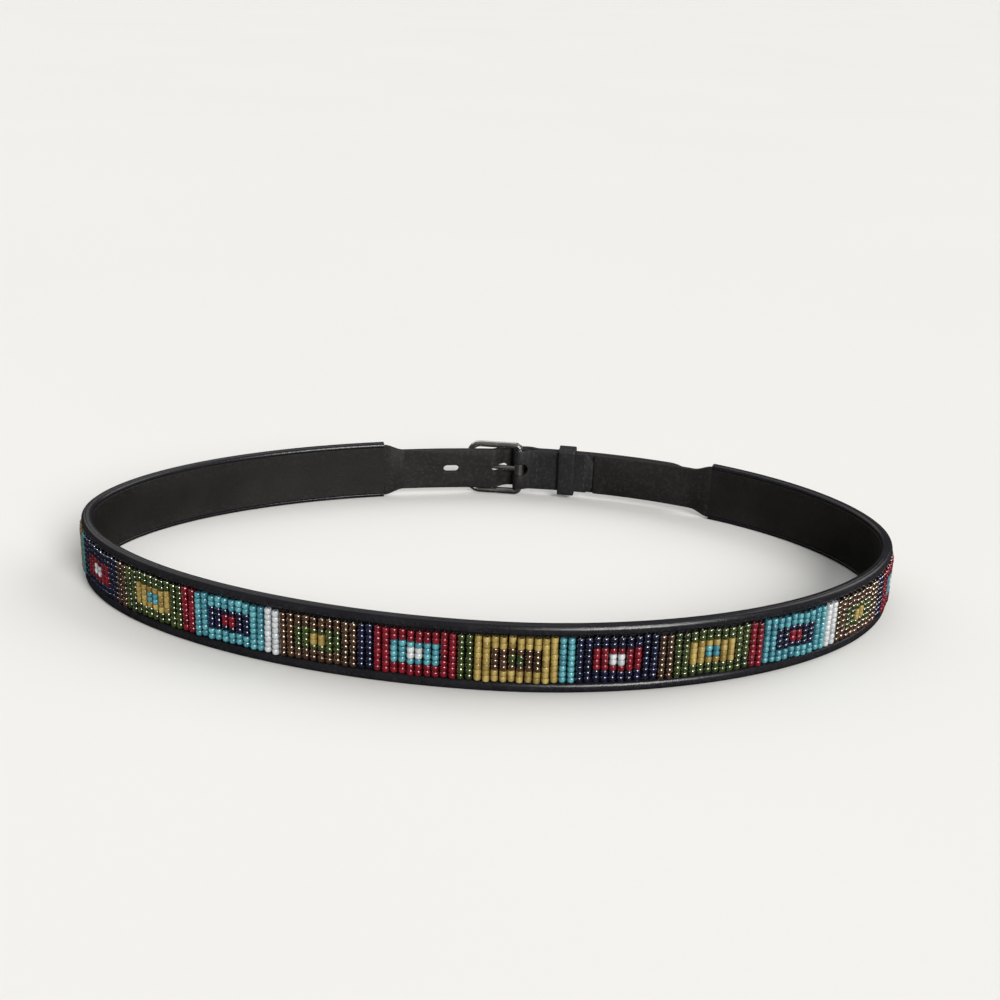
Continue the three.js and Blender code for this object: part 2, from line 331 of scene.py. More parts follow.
def make_bead_glass():
    """The colour of one bead: its random tone, a cloudy body, a painted highlight down its outward face,
    and painted shade at the mouth of its hole.
    """
    group = new_group(
        "bead_glass",
        [
            ("Vector", "NodeSocketVector", None),
            ("Tone", "NodeSocketFloat", 0.5),
            ("Mouth", "NodeSocketFloat", 0.0),
            ("Front", "NodeSocketFloat", 0.0),
            ("Dark", "NodeSocketColor", None),
            ("Plain", "NodeSocketColor", None),
            ("Light", "NodeSocketColor", None),
            ("Bright", "NodeSocketColor", None),
        ],
        [("Color", "NodeSocketColor"), ("Cloud", "NodeSocketFloat")],
    )
    start = node(group, "NodeGroupInput")
    end = node(group, "NodeGroupOutput")
    cloud = noise(group, start.outputs["Vector"], 900, 2)
    tone = maths(group, "ADD", start.outputs["Tone"], maths(group, "MULTIPLY", cloud, 0.3))
    tone = maths(group, "SUBTRACT", tone, 0.15, clamp=True)
    lower = maths(group, "MULTIPLY", tone, 2.0, clamp=True)
    upper = maths(group, "SUBTRACT", maths(group, "MULTIPLY", tone, 2.0), 1.0, clamp=True)
    colour = mix_colour(group, lower, start.outputs["Dark"], start.outputs["Plain"])
    colour = mix_colour(group, upper, colour, start.outputs["Light"])
    # Painted highlight: the outward-facing middle of each bead is lightened towards the highlight colour,
    # more on lighter beads.
    front = maths(group, "POWER", start.outputs["Front"], 3.0)
    painted_highlight_share = maths(group, "MULTIPLY", front, maths(group, "ADD", tone, 0.3), clamp=True)
    colour = mix_colour(group, painted_highlight_share, colour, start.outputs["Bright"])
    # Painted shade: the mouth of each hole is darkened towards the dark colour.
    colour = mix_colour(group, start.outputs["Mouth"], colour, start.outputs["Dark"])
    group.links.new(colour, end.inputs["Color"])
    group.links.new(cloud, end.inputs["Cloud"])
    return group


leather_grain = make_leather_grain()
bead_glass = make_bead_glass()


def new_material(name):
    """A material with its own principled shader, and the Object coordinates."""
    material = bpy.data.materials.new(name)
    material.use_nodes = True
    tree = material.node_tree
    shader = tree.nodes["Principled BSDF"]
    places = node(tree, "ShaderNodeTexCoord").outputs["Object"]
    return material, tree, shader, places


def attribute(tree, name):
    """The value of a mesh attribute."""
    return node(tree, "ShaderNodeAttribute", attribute_name=name).outputs["Fac"]


def bump(tree, shader, height, strength, distance):
    """A bump that feeds the shader's normal."""
    made = node(tree, "ShaderNodeBump")
    made.inputs["Strength"].default_value = strength
    made.inputs["Distance"].default_value = distance
    tree.links.new(height, made.inputs["Height"])
    tree.links.new(made.outputs["Normal"], shader.inputs["Normal"])


def make_leather(name, dark, light, worn, roughness, ior, cell_size, depth):
    """Dyed leather: grain, uneven dye and lighter, smoother wear on its crests."""
    material, tree, shader, places = new_material(name)
    grain = node(tree, "ShaderNodeGroup", node_tree=leather_grain)
    grain.inputs["Cell size"].default_value = cell_size
    tree.links.new(places, grain.inputs["Vector"])
    dye = ramp(tree, grain.outputs["Blotches"], (0.3, dark), (0.7, light))
    scuffs = noise(tree, places, 700, 5, 0.7)
    crest = attribute(tree, "crest")
    sparse = maths(tree, "MULTIPLY", maths(tree, "SUBTRACT", scuffs, 0.48, clamp=True), 4.0)
    wear = maths(tree, "MULTIPLY", crest, sparse, clamp=True)
    colour = mix_colour(tree, wear, dye, worn)
    tree.links.new(colour, shader.inputs["Base Color"])
    dull = maths(tree, "ADD", maths(tree, "MULTIPLY", grain.outputs["Pores"], 0.08), roughness)
    gloss = maths(tree, "SUBTRACT", dull, maths(tree, "MULTIPLY", wear, 0.1))
    tree.links.new(gloss, shader.inputs["Roughness"])
    shader.inputs["IOR"].default_value = ior
    bump(tree, shader, grain.outputs["Height"], 0.7, depth)
    return material


def make_bead_material(name, dark, plain, light, bright, roughness, ior, tint, coat, subsurface):
    """The glass of one colour of bead, with its painted highlight and the painted shade at its hole's
    mouth.
    """
    material, tree, shader, places = new_material(name)
    glass = node(tree, "ShaderNodeGroup", node_tree=bead_glass)
    tree.links.new(places, glass.inputs["Vector"])
    # The mouth and front attributes carry the masks of the painted shade at each hole and the painted
    # highlight on each bead's outward face.
    for label in ("Tone", "Mouth", "Front"):
        tree.links.new(attribute(tree, label.lower()), glass.inputs[label])
    for label, colour in (("Dark", dark), ("Plain", plain), ("Light", light), ("Bright", bright)):
        glass.inputs[label].default_value = (*colour, 1)
    tree.links.new(glass.outputs["Color"], shader.inputs["Base Color"])
    gloss = maths(tree, "ADD", maths(tree, "MULTIPLY", glass.outputs["Cloud"], 0.1), roughness)
    tree.links.new(gloss, shader.inputs["Roughness"])
    shader.inputs["IOR"].default_value = ior
    shader.inputs["Specular Tint"].default_value = (*tint, 1)
    shader.inputs["Coat Weight"].default_value = coat
    shader.inputs["Coat IOR"].default_value = 2.1
    shader.inputs["Coat Roughness"].default_value = 0.08
    shader.inputs["Subsurface Weight"].default_value = subsurface
    shader.inputs["Subsurface Radius"].default_value = (0.6, 0.5, 0.4)
    shader.inputs["Subsurface Scale"].default_value = 0.6 * mm
    bump(tree, shader, glass.outputs["Cloud"], 0.15, 0.03 * mm)
    return material


strap_black = make_leather(
    "strap_black",
    dark=(0.008, 0.008, 0.009), light=(0.015, 0.014, 0.016), worn=(0.036, 0.034, 0.034),
    roughness=0.46, ior=1.42, cell_size=0.55, depth=0.035 * mm,
)
binding_black = make_leather(
    "binding_black",
    dark=(0.008, 0.008, 0.010), light=(0.013, 0.013, 0.016), worn=(0.026, 0.025, 0.030),
    roughness=0.18, ior=1.42, cell_size=0.4, depth=0.045 * mm,
)
lining_brown = make_leather(
    "lining_brown",
    dark=(0.007, 0.006, 0.0055), light=(0.014, 0.012, 0.011), worn=(0.032, 0.027, 0.024),
    roughness=0.52, ior=1.4, cell_size=0.7, depth=0.05 * mm,
)

# Each colour of bead: its random tones from dark to light, and the painted highlight colour on each bead's
# outward face; the dark colour is also the painted shade at the holes.
bead_materials = {
    "turquoise": make_bead_material(
        "glass_turquoise",
        dark=(0.009, 0.078, 0.125), plain=(0.020, 0.130, 0.175),
        light=(0.062, 0.245, 0.262), bright=(0.115, 0.380, 0.430),
        roughness=0.10, ior=1.7, tint=(1, 1, 1), coat=0.4, subsurface=0.1,
    ),
    "white": make_bead_material(
        "glass_white",
        dark=(0.30, 0.325, 0.34), plain=(0.39, 0.415, 0.43),
        light=(0.48, 0.50, 0.51), bright=(0.62, 0.64, 0.65),
        roughness=0.13, ior=1.6, tint=(1, 1, 1), coat=0.4, subsurface=0.2,
    ),
    "mustard": make_bead_material(
        "glass_mustard",
        dark=(0.110, 0.064, 0.012), plain=(0.186, 0.123, 0.026),
        light=(0.265, 0.190, 0.050), bright=(0.450, 0.340, 0.110),
        roughness=0.13, ior=1.75, tint=(1, 0.94, 0.75), coat=0.3, subsurface=0.2,
    ),
    "red": make_bead_material(
        "glass_red",
        dark=(0.038, 0.001, 0.003), plain=(0.096, 0.002, 0.006),
        light=(0.150, 0.004, 0.010), bright=(0.225, 0.008, 0.020),
        roughness=0.09, ior=2.1, tint=(1, 0.70, 0.72), coat=0.25, subsurface=0.1,
    ),
    "navy": make_bead_material(
        "glass_navy",
        dark=(0.0008, 0.0008, 0.004), plain=(0.0015, 0.0015, 0.010),
        light=(0.004, 0.004, 0.026), bright=(0.006, 0.006, 0.036),
        roughness=0.06, ior=2.25, tint=(0.85, 0.93, 1), coat=0.3, subsurface=0,
    ),
    "green": make_bead_material(
        "glass_green",
        dark=(0.002, 0.006, 0.001), plain=(0.007, 0.016, 0.002),
        light=(0.032, 0.048, 0.006), bright=(0.048, 0.070, 0.009),
        roughness=0.08, ior=2.4, tint=(0.95, 1, 0.72), coat=0.8, subsurface=0,
    ),
    "copper": make_bead_material(
        "glass_copper",
        dark=(0.006, 0.002, 0.001), plain=(0.016, 0.005, 0.002),
        light=(0.050, 0.020, 0.008), bright=(0.070, 0.030, 0.013),
        roughness=0.08, ior=2.7, tint=(1, 0.82, 0.62), coat=0.8, subsurface=0,
    ),
}


def make_thread_material():
    """Dark waxed sewing thread."""
    material, tree, shader, places = new_material("waxed_thread")
    fibres = noise(tree, places, 6000, 2)
    colour = ramp(tree, fibres, (0.3, (0.010, 0.009, 0.010)), (0.7, (0.035, 0.032, 0.030)))
    tree.links.new(colour, shader.inputs["Base Color"])
    shader.inputs["Roughness"].default_value = 0.55
    bump(tree, shader, fibres, 0.4, 0.04 * mm)
    return material


def make_steel():
    """Plain steel wire, polished by hand: fine scratches, and a duller film in places."""
    material, tree, shader, places = new_material("polished_steel")
    stretch = node(tree, "ShaderNodeMapping")
    stretch.inputs["Scale"].default_value = (300, 300, 6000)
    tree.links.new(places, stretch.inputs["Vector"])
    scratches = noise(tree, stretch.outputs["Vector"], 1, 4, 0.7)
    film = noise(tree, places, 140, 4)
    colour = ramp(tree, film, (0.35, (0.60, 0.59, 0.57)), (0.65, (0.74, 0.73, 0.71)))
    tree.links.new(colour, shader.inputs["Base Color"])
    dull = maths(tree, "MULTIPLY", film, 0.3)
    gloss = maths(tree, "ADD", maths(tree, "MULTIPLY", scratches, 0.16), dull)
    tree.links.new(gloss, shader.inputs["Roughness"])
    shader.inputs["Metallic"].default_value = 1
    bump(tree, shader, scratches, 0.1, 0.02 * mm)
    return material


waxed_thread = make_thread_material()
polished_steel = make_steel()


# The rolled bindings and the lining between them

def binding_section():
    """The lower binding's section: lip, turned edge, seam groove, and the roll with its shallow crease."""
    lip_round = 0.2 * mm
    turn_radius = 1.3 * mm
    turn_steps = 5
    crease_depth = 0.13 * mm
    crease_turn = 0.29 * math.pi
    crease_width = 0.05
    section = [(lining_outer, lip_height, 0.0), (inner_face + lip_round, lip_height, 0.1)]
    section.append((inner_face, lip_height - lip_round, 0.2))
    for i in range(turn_steps + 1):
        turn = math.pi / 2 * i / turn_steps
        out = inner_face + turn_radius * (1 - math.cos(turn))
        up = turn_radius * (1 - math.sin(turn))
        section.append((out, up, 0.3 + 0.4 * math.sin(2 * turn)))
    foot = roll_foot + 0.1 * mm
    section += [
        (roll_foot - 0.35 * mm, 0.0, 0.2),
        (roll_foot - 0.14 * mm, 0.03 * mm, 0.05),
        (roll_foot - 0.02 * mm, 0.13 * mm, 0.0),
        (foot, 0.04 * mm, 0.05),
    ]
    steps = 14
    for i in range(1, steps):
        turn = math.pi * i / steps
        crease = crease_depth * math.exp(-(((turn - crease_turn) / crease_width) ** 2))
        out = foot + (binding_crest - foot) * math.sin(turn) - crease
        up = binding_height / 2 * (1 - math.cos(turn))
        mark = 0.0 if crease >= crease_depth / 4 else 0.9 * math.sin(turn) ** 4
        section.append((out, up, mark))
    section += [
        (foot, binding_height, 0.0),
        (roll_foot, binding_height, 0.0),
        (roll_foot, binding_wall, 0.0),
        (lining_outer, binding_wall, 0.0),
    ]
    return section


def make_bindings():
    """The leather rolled over the belt's two edges."""
    lower = binding_section()
    upper = [(out, belt_height - up, mark) for out, up, mark in reversed(lower)]
    for name, section in (("upper", upper), ("lower", lower)):
        shape = run_along(section, beaded_start, beaded_end, 1.6 * mm)
        bend(shape)
        finish_piece(
            shape, name + "_rolled_leather", binding_black, "binding_leather", name + "_binding", sharp=50,
        )


def make_lining():
    """The inner leather strip between the lips of the bindings."""
    low = lip_height + layer_gap
    high = belt_height - low
    edge = 0.2 * mm
    flat_half = 5 * mm
    section = [
        (inner_face, low + edge, 0.7),
        (inner_face + edge, low, 0.3),
        (lining_outer, low, 0.0),
        (lining_outer, high, 0.0),
        (inner_face + edge, high, 0.3),
        (inner_face, high - edge, 0.7),
        (inner_face, middle + flat_half, 0.1),
        (inner_face, middle - flat_half, 0.1),
    ]
    shape = run_along(section, beaded_start, beaded_end, 2 * mm)
    bend(shape)
    finish_piece(shape, "lining_leather", lining_brown, "lining_leather", "lining", sharp=40)


def make_strap_core():
    """The strap between the bindings, which the beads are sewn to."""
    low = strap_inset
    high = belt_height - low
    section = [
        (strap_inner, low, 0.0),
        (strap_outer, low, 0.0),
        (strap_outer, middle, 0.0),
        (strap_outer, high, 0.0),
        (strap_inner, high, 0.0),
    ]
    shape = run_along(section, beaded_start, beaded_end, 2 * mm)
    bend(shape)
    finish_piece(shape, "strap_under_beads", strap_black, "strap_leather", "strap", sharp=40)


# The plain ends: leather cut flat, punched, bevelled and bent to its path

def ease(share):
    """A smooth step from nought to one."""
    return 0.5 - 0.5 * math.cos(math.pi * min(max(share, 0), 1))


def tail_out(past_bar):
    """How far out the middle of the tail runs, against its distance past the buckle's bar."""
    rise = ease((past_bar + rise_gap + rise_length) / rise_length)
    fall = ease((past_bar - eye_radius - fall_gap) / fall_length)
    return end_middle + (over_eye - end_middle) * rise + (over_end - over_eye) * fall


def half_height_at(past_beads):
    """Half the height of a plain end, which narrows from the beaded stretch."""
    wide = middle - strap_inset
    return wide + (end_height / 2 - wide) * ease(past_beads / taper_length)


def taper(toward):
    """The narrowing edge of a plain end, as (past the beads, half height), towards its end or back."""
    points = [(taper_length * i / 10, half_height_at(taper_length * i / 10)) for i in range(11)]
    return points[::toward]


def both_edges(upper):
    """A closed outline from its upper edge, given as (along, half height). A pointed end counts once."""
    lower = [(x, middle - z) for x, z in reversed(upper) if z > 0.01 * mm]
    return [(x, middle + z) for x, z in upper] + lower


def cut_leather(outline, holes, thickness):
    """A flat piece of leather from its outline and holes, punched through and with its edges rounded."""
    shape = bmesh.new()
    crest = shape.verts.layers.float.new("crest")
    edges = []
    for loop in (outline, *holes):
        verts = [shape.verts.new((x, 0, z)) for x, z in loop]
        edges += [shape.edges.new((a, b)) for a, b in zip(verts, verts[1:] + verts[:1])]
    bmesh.ops.triangle_fill(shape, use_beauty=True, use_dissolve=False, edges=edges)
    raised = bmesh.ops.extrude_face_region(shape, geom=list(shape.faces), use_keep_orig=True)
    lifted = [part for part in raised["geom"] if isinstance(part, bmesh.types.BMVert)]
    bmesh.ops.translate(shape, verts=lifted, vec=(0, thickness, 0))
    bmesh.ops.recalc_face_normals(shape, faces=shape.faces)
    rims = [
        edge for edge in shape.edges
        if len(edge.link_faces) == 2 and edge.calc_face_angle() > math.radians(60)
        and abs(edge.verts[0].co.y - edge.verts[1].co.y) < 0.1 * mm
    ]
    rounded = bmesh.ops.bevel(
        shape,
        geom=rims,
        offset=cut_edge_round,
        segments=2,
        profile=0.5,
        affect="EDGES",
        material=-1,
        clamp_overlap=True,
    )
    for vert in rounded["verts"]:
        vert[crest] = 0.9
    return shape


def slice_up(shape, start, end, step):
    """Cuts a flat piece across at even places, so that it can bend."""
    for i in range(1, round((end - start) / step)):
        parts = list(shape.verts) + list(shape.edges) + list(shape.faces)
        bmesh.ops.bisect_plane(
            shape, geom=parts, dist=1e-6, plane_co=(start + i * step, 0, 0), plane_no=(1, 0, 0)
        )


def oblong(centre, length, width):
    """An oblong hole's outline in the flat, as points along and up."""
    points = []
    for side in (1, -1):
        for i in range(9):
            turn = -math.pi / 2 + math.pi * i / 8 + (0 if side > 0 else math.pi)
            points.append((
                centre + side * (length - width) / 2 + width / 2 * math.cos(turn),
                middle + width / 2 * math.sin(turn),
            ))
    return points


def make_tail():
    """The plain end with the holes, from the beads to its rounded tip: a face and a lining leather."""
    tip = tail_bar - tail_past_bar
    tip_steps = 12
    upper = []
    for i in range(tip_steps + 1):
        share = math.cos(math.pi / 2 * i / tip_steps)
        along = tip + tail_tip_length * (1 - share)
        upper.append((along, end_height / 2 * math.sqrt(1 - share * share)))
    upper += [(beaded_start - past, half) for past, half in taper(-1)]
    used_place = tail_bar + rise_gap + rise_length / 2
    holes = []
    for i in range(hole_count):
        holes.append(oblong(used_place - (i - used_hole) * hole_pitch, hole_length, hole_width))
    half_thickness = end_thickness / 2
    layers = (("tail_face", strap_black, half_thickness), ("tail_back", lining_brown, 0))
    for name, material, lift in layers:
        shape = cut_leather(both_edges(upper), holes, half_thickness)
        slice_up(shape, tip, beaded_start, bend_step)
        slice_up(shape, tail_bar - over_bar[0], tail_bar + over_bar[1], over_bar_step)
        for vert in shape.verts:
            past = tail_bar - vert.co.x
            slope = (tail_out(past + 0.5 * mm) - tail_out(past - 0.5 * mm)) / mm
            depth = vert.co.y - lift
            vert.co.y = -tail_out(past) + depth * math.hypot(1, slope)
        bend(shape)
        finish_piece(shape, name, material, "strap_leather", "strap", sharp=50)


def fold_place(run):
    """The place (along, out) of the folded leather's middle, from the beads to the bar and back."""
    layer = end_thickness / 2
    outer = strap_outer - layer / 2
    radius = eye_radius - layer / 2
    straight = bar_along - beaded_end
    turn_length = math.pi * radius
    if run < straight:
        to_bar = straight - run
        out = outer + (end_middle + radius - outer) * ease(1 - to_bar / fold_ramp)
        return beaded_end + run, out
    if run < straight + turn_length:
        turn = (run - straight) / radius
        return bar_along + radius * math.sin(turn), end_middle + radius * math.cos(turn)
    back = run - straight - turn_length
    out = end_middle - radius + (radius - layer / 2) * ease(back / fold_ramp)
    return bar_along - back, out


def make_buckle_fold():
    """The leather that folds round the buckle's bar, with a slot for the prong."""
    layer = end_thickness / 2
    turn_length = math.pi * (eye_radius - layer / 2)
    straight = bar_along - beaded_end
    whole = straight + turn_length + fold_back
    upper = taper(1)
    upper += [(whole - fold_corner, end_height / 2), (whole, end_height / 2 - fold_corner)]
    slot = oblong(straight + turn_length / 2, prong_slot_length, prong_slot_width)
    shape = cut_leather(both_edges(upper), [slot], layer)
    slice_up(shape, 0, whole, bend_step)
    slice_up(shape, straight - turn_margin, straight + turn_length + turn_margin, turn_step)
    for vert in shape.verts:
        before, after = fold_place(vert.co.x - 0.05 * mm), fold_place(vert.co.x + 0.05 * mm)
        onward = Vector((after[0] - before[0], after[1] - before[1])).normalized()
        along, out = fold_place(vert.co.x)
        rise = layer / 2 - vert.co.y
        vert.co = place(along - onward.y * rise, out + onward.x * rise, vert.co.z)
    finish_piece(shape, "buckle_end_fold", strap_black, "strap_leather", "strap", sharp=50)


def make_buckle_back():
    """The lining behind the buckle's end, from the beaded stretch to the end of the fold."""
    end = bar_along - fold_back
    upper = [(beaded_end + past, half) for past, half in taper(1)]
    upper.append((end - 0.4 * mm, end_height / 2))
    shape = cut_leather(both_edges(upper), [], end_thickness / 2)
    slice_up(shape, beaded_end, end, bend_step)
    for vert in shape.verts:
        vert.co.y -= end_middle
    bend(shape)
    finish_piece(shape, "buckle_end_back", lining_brown, "strap_leather", "strap", sharp=50)


def make_keeper():
    """The leather loop that holds the tail down."""
    start = bar_along - keeper_start - keeper_length
    inner = inner_face - fit_gap - keeper_wall
    outer = over_end + end_thickness / 2 + fit_gap + keeper_wall
    half = end_height / 2 + fit_gap + keeper_wall
    corner_round = 1.6 * mm
    rim_round = 0.4 * mm
    shape = bmesh.new()
    crest = shape.verts.layers.float.new("crest")
    corners = [(outer, -half), (outer, half), (inner, half), (inner, -half)]
    verts = [shape.verts.new((start, -out, middle + up)) for out, up in corners]
    shape.faces.new(verts)
    bmesh.ops.bevel(
        shape,
        geom=list(shape.verts),
        offset=corner_round,
        segments=5,
        profile=0.5,
        affect="VERTICES",
        material=-1,
    )
    plate = list(shape.faces)
    bmesh.ops.inset_region(
        shape, faces=plate, thickness=keeper_wall, use_boundary=True, use_even_offset=True
    )
    bmesh.ops.delete(shape, geom=plate, context="FACES")
    raised = bmesh.ops.extrude_face_region(shape, geom=list(shape.faces), use_keep_orig=True)
    lifted = [part for part in raised["geom"] if isinstance(part, bmesh.types.BMVert)]
    bmesh.ops.translate(shape, verts=lifted, vec=(keeper_length, 0, 0))
    bmesh.ops.recalc_face_normals(shape, faces=shape.faces)
    rims = [
        edge for edge in shape.edges
        if len(edge.link_faces) == 2 and edge.calc_face_angle() > math.radians(60)
        and abs(edge.verts[0].co.x - edge.verts[1].co.x) < 0.1 * mm
    ]
    rounded = bmesh.ops.bevel(
        shape, geom=rims, offset=rim_round, segments=3, profile=0.5, affect="EDGES", material=-1
    )
    for vert in rounded["verts"]:
        vert[crest] = 0.9
    slice_up(shape, start, start + keeper_length, 1.5 * mm)
    bend(shape)
    finish_piece(shape, "keeper_loop", strap_black, "strap_leather", "keeper", sharp=50)


# The beads

panels = [
    ("copper", "green", "mustard"),
    ("red", "turquoise", "white"),
    ("mustard", "copper", "green"),
    ("navy", "red", "white"),
    ("green", "mustard", "turquoise"),
    ("turquoise", "navy", "red"),
]
stripes = ["navy", "green", "turquoise", "copper", "red", "white"]
panel_columns = 10
block_columns = panel_columns + 2
pattern_columns = block_columns * len(panels)


def bead_colour(column, row):
    """The colour of a bead: ten-column panels with a ring and a centre, and two-column stripes between."""
    block, across = divmod((first_column_in_pattern + column) % pattern_columns, block_columns)
    if across >= panel_columns:
        return stripes[block]
    frame_colour, ring_colour, centre_colour = panels[block]
    if across in (4, 5) and row in (3, 4):
        return centre_colour
    if 2 <= across <= 7 and 2 <= row <= 5:
        return ring_colour
    return frame_colour


def make_bead(name, fullness):
    """One bead with its hole upright, in units of its radius and half length. Fullness squares it off."""
    shape = bmesh.new()
    mouth = shape.verts.layers.float.new("mouth")
    # Each point: radius, height and the share of painted shade at the hole's mouth.
    quarter = [
        (0.32, 0.92, 1.0),
        (0.74 + 0.17 * fullness, 1.0, 0.15),
        (0.93 + 0.05 * fullness, 0.58 + 0.14 * fullness, 0.0),
        (1.0, 0.2, 0.0),
    ]
    profile = quarter + [(r, -z, m) for r, z, m in reversed(quarter)]
    ring = []
    for radius, height, mark in profile:
        vert = shape.verts.new((radius, 0, height))
        vert[mouth] = mark
        ring.append(vert)
    edges = [shape.edges.new((a, b)) for a, b in zip(ring, ring[1:] + ring[:1])]
    bmesh.ops.spin(
        shape,
        geom=ring + edges,
        cent=(0, 0, 0),
        axis=(0, 0, 1),
        angle=2 * math.pi,
        steps=10,
        use_merge=True,
        use_duplicate=False,
    )
    bmesh.ops.recalc_face_normals(shape, faces=shape.faces)
    mesh = bpy.data.meshes.new(name)
    shape.to_mesh(mesh)
    shape.free()
    return mesh


def facing(along):
    """The turn that takes a shape drawn for the front of a straight belt to a place round the oval."""
    onward = onward_at(along)
    return Matrix((
        (onward.x, -onward.y, 0),
        (onward.y, onward.x, 0),
        (0, 0, 1),
    )).to_4x4()


def add_copy(shape, pattern, matrix):
    """Adds a moved copy of a small mesh to a shape, and returns its points."""
    before = len(shape.verts)
    shape.from_mesh(pattern)
    shape.verts.ensure_lookup_table()
    added = shape.verts[before:]
    bmesh.ops.transform(shape, matrix=matrix, verts=added)
    return added


def spread(deviation, most):
    """A random number around nought and never past the most."""
    return min(max(chance.gauss(0, deviation), -most), most)


def tilted(degrees, axis):
    """A small random turn about an axis."""
    return Matrix.Rotation(math.radians(chance.gauss(0, degrees)), 4, axis)


def make_beads():
    """Every bead of the field, joined by colour. Returns the place of each column's two ends."""
    fullness = {"mustard": 0.9, "white": 0.2, "turquoise": 0.0, "red": 0.3}
    usual_tilt = 3
    shapes = {}
    tones = {}
    painted_highlight_masks = {}
    patterns = {}
    for colour in bead_materials:
        shapes[colour] = bmesh.new()
        # Masks for the painted shade at each hole's mouth and the painted highlight on each bead's outward
        # face.
        shapes[colour].verts.layers.float.new("mouth")
        tones[colour] = shapes[colour].verts.layers.float.new("tone")
        painted_highlight_masks[colour] = shapes[colour].verts.layers.float.new("front")
        patterns[colour] = make_bead("bead_" + colour, fullness.get(colour, 0.2))
    column_ends = []
    for column in range(bead_columns):
        along = beaded_start + (column + 0.5) * column_pitch
        slip = spread(deviation=0.26, most=0.42) * mm
        slant = chance.gauss(0, 0.008)
        top = middle + beads_above_middle + slip + column_length / 2
        column_ends.append((along, top, top - column_length))
        lengths = [chance.uniform(0.92, 1.08) for _ in range(bead_rows)]
        lengths = [length * column_length / sum(lengths) for length in lengths]
        turned = facing(along)
        column_tone = chance.uniform(-0.1, 0.1)
        for row in range(bead_rows):
            colour = bead_colour(column, row)
            length = lengths[row]
            centre = place(
                along + chance.uniform(-0.05, 0.05) * mm + slant * (top - length / 2 - middle),
                -bead_diameter / 2 + chance.uniform(-0.05, 0.0) * mm,
                top - length / 2,
            )
            top -= length
            radius = bead_diameter / 2 * chance.uniform(0.97, 1.03)
            tilt = tilted(usual_tilt, "X")
            lean = tilted(usual_tilt, "Y")
            roll = Matrix.Rotation(chance.uniform(0, 2 * math.pi), 4, "Z")
            size = Matrix.Diagonal((radius, radius, length / 2, 1))
            placing = Matrix.Translation(centre) @ turned @ tilt @ lean @ size @ roll
            added = add_copy(shapes[colour], patterns[colour], placing)
            tone = min(max(chance.gauss(0.5, 0.2) + column_tone, 0), 1)
            # How far each point faces outward: the mask of the painted highlight.
            outward = turned @ Vector((0, -1 / radius, 0))
            for vert in added:
                vert[tones[colour]] = tone
                vert[painted_highlight_masks[colour]] = min(max((vert.co - centre).dot(outward), 0), 1)
    for colour, shape in shapes.items():
        bpy.data.meshes.remove(patterns[colour])
        finish_piece(shape, "beads_" + colour, bead_materials[colour], "glass_beads", "bead_field")
    return column_ends


def make_bead_thread(column_ends):
    """The sewing thread where it leaves each column's end beads and dives into the strap, as low arches."""
    depth = bead_diameter / 2 + strap_outer
    inside = 0.06 * mm
    bow = bmesh.new()
    bmesh.ops.create_circle(bow, cap_ends=True, segments=6, radius=thread_radius)
    bmesh.ops.translate(bow, verts=bow.verts, vec=(0, depth / 2, 0))
    spun = bmesh.ops.spin(
        bow,
        geom=list(bow.edges),
        cent=(0, 0, 0),
        axis=(1, 0, 0),
        angle=math.pi,
        steps=6,
        use_merge=False,
        use_duplicate=False,
    )
    last = [part for part in spun["geom_last"] if isinstance(part, bmesh.types.BMEdge)]
    bmesh.ops.edgeloop_fill(bow, edges=last)
    bmesh.ops.scale(bow, verts=bow.verts, vec=(1, 1, -0.5))
    bmesh.ops.recalc_face_normals(bow, faces=bow.faces)
    pattern = bpy.data.meshes.new("thread_bow")
    bow.to_mesh(pattern)
    bow.free()
    shape = bmesh.new()
    for along, top, bottom in column_ends:
        for up, over in ((top - inside, 0), (bottom + inside, math.pi)):
            centre = place(along, -bead_diameter / 2 + depth / 2, up)
            turned_over = Matrix.Rotation(over, 4, "Y")
            add_copy(shape, pattern, Matrix.Translation(centre) @ facing(along) @ turned_over)
    bpy.data.meshes.remove(pattern)
    finish_piece(shape, "bead_thread", waxed_thread, "strap_leather")


def make_seam_stitches():
    """The two cross seams that close the fold round the buckle's bar."""
    stitch = bmesh.new()
    bmesh.ops.create_uvsphere(stitch, u_segments=8, v_segments=6, radius=1)
    bmesh.ops.scale(stitch, verts=stitch.verts, vec=stitch_half_size)
    pattern = bpy.data.meshes.new("stitch")
    stitch.to_mesh(pattern)
    stitch.free()
    shape = bmesh.new()
    for before_bar in seams_before_bar:
        along = bar_along - before_bar
        for i in range(-2, 3):
            for out in (strap_outer, inner_face):
                lean = Matrix.Rotation(math.radians(chance.gauss(8, 2)), 4, "Y")
                centre = place(along, out, middle + i * stitch_pitch)
                add_copy(shape, pattern, Matrix.Translation(centre) @ facing(along) @ lean)
    bpy.data.meshes.remove(pattern)
    finish_piece(shape, "fold_stitches", waxed_thread, "strap_leather")


# The camera, floor and lights

def make_camera():
    """The photograph's view: a little above the front, turned slightly."""
    pitch = 0.3733
    roll = 0.036
    eye = Vector((-8.0 * mm + belt_shift_x, -539.0 * mm + belt_shift_y, 231.75 * mm + middle))
    right = Vector((1, 0, 0))
    up = Vector((0, math.sin(pitch), math.cos(pitch)))
    back = Vector((0, -math.cos(pitch), math.sin(pitch)))
    turned_right = right * math.cos(roll) + up * math.sin(roll)
    turned_up = up * math.cos(roll) - right * math.sin(roll)
    view = Matrix((turned_right, turned_up, back)).transposed().to_4x4()
    data = bpy.data.cameras.new("camera")
    data.lens = 54
    data.sensor_width = 36
    data.clip_start = 0.02
    data.clip_end = 100
    camera = bpy.data.objects.new("camera", data)
    camera.matrix_world = Matrix.Translation(eye) @ view
    bpy.context.scene.collection.objects.link(camera)
    bpy.context.scene.camera = camera


